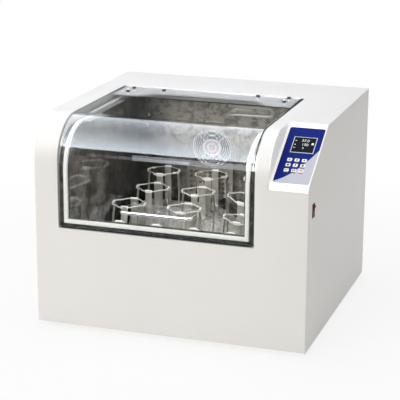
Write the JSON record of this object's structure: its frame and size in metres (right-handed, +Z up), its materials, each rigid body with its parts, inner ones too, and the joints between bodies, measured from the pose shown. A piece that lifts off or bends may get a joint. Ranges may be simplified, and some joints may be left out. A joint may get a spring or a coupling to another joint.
{
  "type": "shaking incubator",
  "caption": "Bench-top shaking incubator with a bent clear lift-up lid, a tilted key panel and an orbital platform with spring clamps.",
  "frame": {"origin": "middle of the overall footprint, on the bench", "axes": "+X to the right as seen from the front, +Y from front to rear, +Z up"},
  "size_m": [0.7254, 0.7, 0.56],
  "materials": {
    "casing_paint": "powder-coated, satin",
    "black_rubber": "matte",
    "panel_plastic": "fine texture",
    "stainless": "brushed",
    "mineral_wool": "fibrous",
    "white_silicone": "matte, white",
    "wire_steel": "bright wire",
    "motor_black": "satin black",
    "heater_steel": "satin",
    "frame_steel": "zinc grey",
    "cast_grey": "as cast",
    "tray_steel": "worn",
    "spring_steel": "bright",
    "circuit_green": "lacquered board",
    "display_frame": "gloss",
    "switch_black": "satin black",
    "clear_acrylic": "clear, polished",
    "chrome_bright": "polished",
    "aluminium_plain": "turned",
    "rocker_red": "gloss",
    "key_white": "satin"
  },
  "bodies": {
    "root": {"front_top_cover": "casing_paint", "side_panel_left": "casing_paint", "side_panel_right": "casing_paint", "rear_panel": "casing_paint", "base_pan": "casing_paint", "rubber_feet": "black_rubber", "control_console": "panel_plastic", "chamber_liner": "stainless", "chamber_insulation": "mineral_wool", "opening_gasket": "white_silicone", "fan_guard": "wire_steel", "fan_motor": "motor_black", "heater_tube": "heater_steel", "temperature_sensor": "stainless", "perforated_outlet": "stainless", "drive_bed": "frame_steel", "drive_motor": "motor_black", "bearing_housings": "cast_grey", "drive_belt": "black_rubber", "control_board": "circuit_green", "display_module": "display_frame", "switch_bezel": "switch_black", "power_inlet": "switch_black", "hinge_base": "stainless"},
    "lid": {"lid_sheet": "clear_acrylic", "hinge_plate": "stainless", "lid_nuts": "chrome_bright", "lid_handle": "chrome_bright", "hinge_pin": "stainless"},
    "fan_rotor": {"fan_wheel": "aluminium_plain"},
    "motor_rotor": {"motor_pulley": "aluminium_plain"},
    "main_crank_body": {"main_crank": "frame_steel"},
    "idler_1_body": {"idler_1_crank": "frame_steel"},
    "idler_2_body": {"idler_2_crank": "frame_steel"},
    "idler_3_body": {"idler_3_crank": "frame_steel"},
    "platform": {"platform_spider": "cast_grey", "platform_tray": "tray_steel", "small_clamp_1": "spring_steel", "small_clamp_2": "spring_steel", "small_clamp_3": "spring_steel", "small_clamp_4": "spring_steel", "large_clamp_1": "spring_steel", "large_clamp_2": "spring_steel", "large_clamp_3": "spring_steel", "large_clamp_4": "spring_steel", "large_clamp_5": "spring_steel", "large_clamp_6": "spring_steel", "large_clamp_7": "spring_steel", "large_clamp_8": "spring_steel", "large_clamp_9": "spring_steel"},
    "rocker_body": {"rocker": "rocker_red"},
    "key_1_body": {"key_1": "key_white"},
    "key_2_body": {"key_2": "key_white"},
    "key_3_body": {"key_3": "key_white"},
    "key_4_body": {"key_4": "key_white"},
    "key_5_body": {"key_5": "key_white"},
    "key_6_body": {"key_6": "key_white"},
    "key_7_body": {"key_7": "key_white"},
    "key_8_body": {"key_8": "key_white"},
    "key_9_body": {"key_9": "key_white"}
  },
  "joints": [
    {"name": "lid_hinge", "type": "hinge", "parent": "root", "child": "lid", "pos_m": [-0.03925, 0.161, 0.54625], "axis": [-1, 0, 0], "range_deg": [0, 80]},
    {"name": "main_crank_spin", "type": "hinge", "parent": "root", "child": "main_crank_body", "pos_m": [-0.03925, -0.04685, 0.202], "axis": [0, 0, 1], "continuous": true},
    {"name": "idler_1_spin", "type": "hinge", "parent": "root", "child": "idler_1_body", "pos_m": [-0.03925, 0.10315, 0.202], "axis": [0, 0, 1], "continuous": true},
    {"name": "idler_2_spin", "type": "hinge", "parent": "root", "child": "idler_2_body", "pos_m": [-0.16915, -0.12185, 0.202], "axis": [0, 0, 1], "continuous": true},
    {"name": "idler_3_spin", "type": "hinge", "parent": "root", "child": "idler_3_body", "pos_m": [0.09065, -0.12185, 0.202], "axis": [0, 0, 1], "continuous": true},
    {"name": "motor_spin", "type": "hinge", "parent": "root", "child": "motor_rotor", "pos_m": [0.28675, -0.04685, 0.072], "axis": [0, 0, 1], "continuous": true},
    {"name": "platform_pivot", "type": "hinge", "parent": "main_crank_body", "child": "platform", "pos_m": [-0.02625, -0.04685, 0.212], "axis": [0, 0, 1], "continuous": true},
    {"name": "fan_spin", "type": "hinge", "parent": "root", "child": "fan_rotor", "pos_m": [-0.05125, 0.2, 0.387], "axis": [0, 1, 0], "continuous": true},
    {"name": "rocker_tilt", "type": "hinge", "parent": "root", "child": "rocker_body", "pos_m": [0.35625, -0.261, 0.368], "axis": [0, -1, 0], "range_deg": [0, 18]},
    {"name": "key_1_press", "type": "slide", "parent": "root", "child": "key_1_body", "axis": [0, 0.5249, -0.8512], "range_m": [0, 0.0008], "stiffness_N_per_m": 400},
    {"name": "key_2_press", "type": "slide", "parent": "root", "child": "key_2_body", "axis": [0, 0.5249, -0.8512], "range_m": [0, 0.0008], "stiffness_N_per_m": 400},
    {"name": "key_3_press", "type": "slide", "parent": "root", "child": "key_3_body", "axis": [0, 0.5249, -0.8512], "range_m": [0, 0.0008], "stiffness_N_per_m": 400},
    {"name": "key_4_press", "type": "slide", "parent": "root", "child": "key_4_body", "axis": [0, 0.5249, -0.8512], "range_m": [0, 0.0008], "stiffness_N_per_m": 400},
    {"name": "key_5_press", "type": "slide", "parent": "root", "child": "key_5_body", "axis": [0, 0.5249, -0.8512], "range_m": [0, 0.0008], "stiffness_N_per_m": 400},
    {"name": "key_6_press", "type": "slide", "parent": "root", "child": "key_6_body", "axis": [0, 0.5249, -0.8512], "range_m": [0, 0.0008], "stiffness_N_per_m": 400},
    {"name": "key_7_press", "type": "slide", "parent": "root", "child": "key_7_body", "axis": [0, 0.5249, -0.8512], "range_m": [0, 0.0008], "stiffness_N_per_m": 400},
    {"name": "key_8_press", "type": "slide", "parent": "root", "child": "key_8_body", "axis": [0, 0.5249, -0.8512], "range_m": [0, 0.0008], "stiffness_N_per_m": 400},
    {"name": "key_9_press", "type": "slide", "parent": "root", "child": "key_9_body", "axis": [0, 0.5249, -0.8512], "range_m": [0, 0.0008], "stiffness_N_per_m": 400}
  ],
  "couplings": [
    {"joint": "platform_pivot", "follows": "main_crank_spin", "ratio": -1},
    {"joint": "motor_spin", "follows": "main_crank_spin", "ratio": 2.5833},
    {"joint": "idler_1_spin", "follows": "main_crank_spin", "ratio": 1},
    {"joint": "idler_2_spin", "follows": "main_crank_spin", "ratio": 1},
    {"joint": "idler_3_spin", "follows": "main_crank_spin", "ratio": 1}
  ]
}
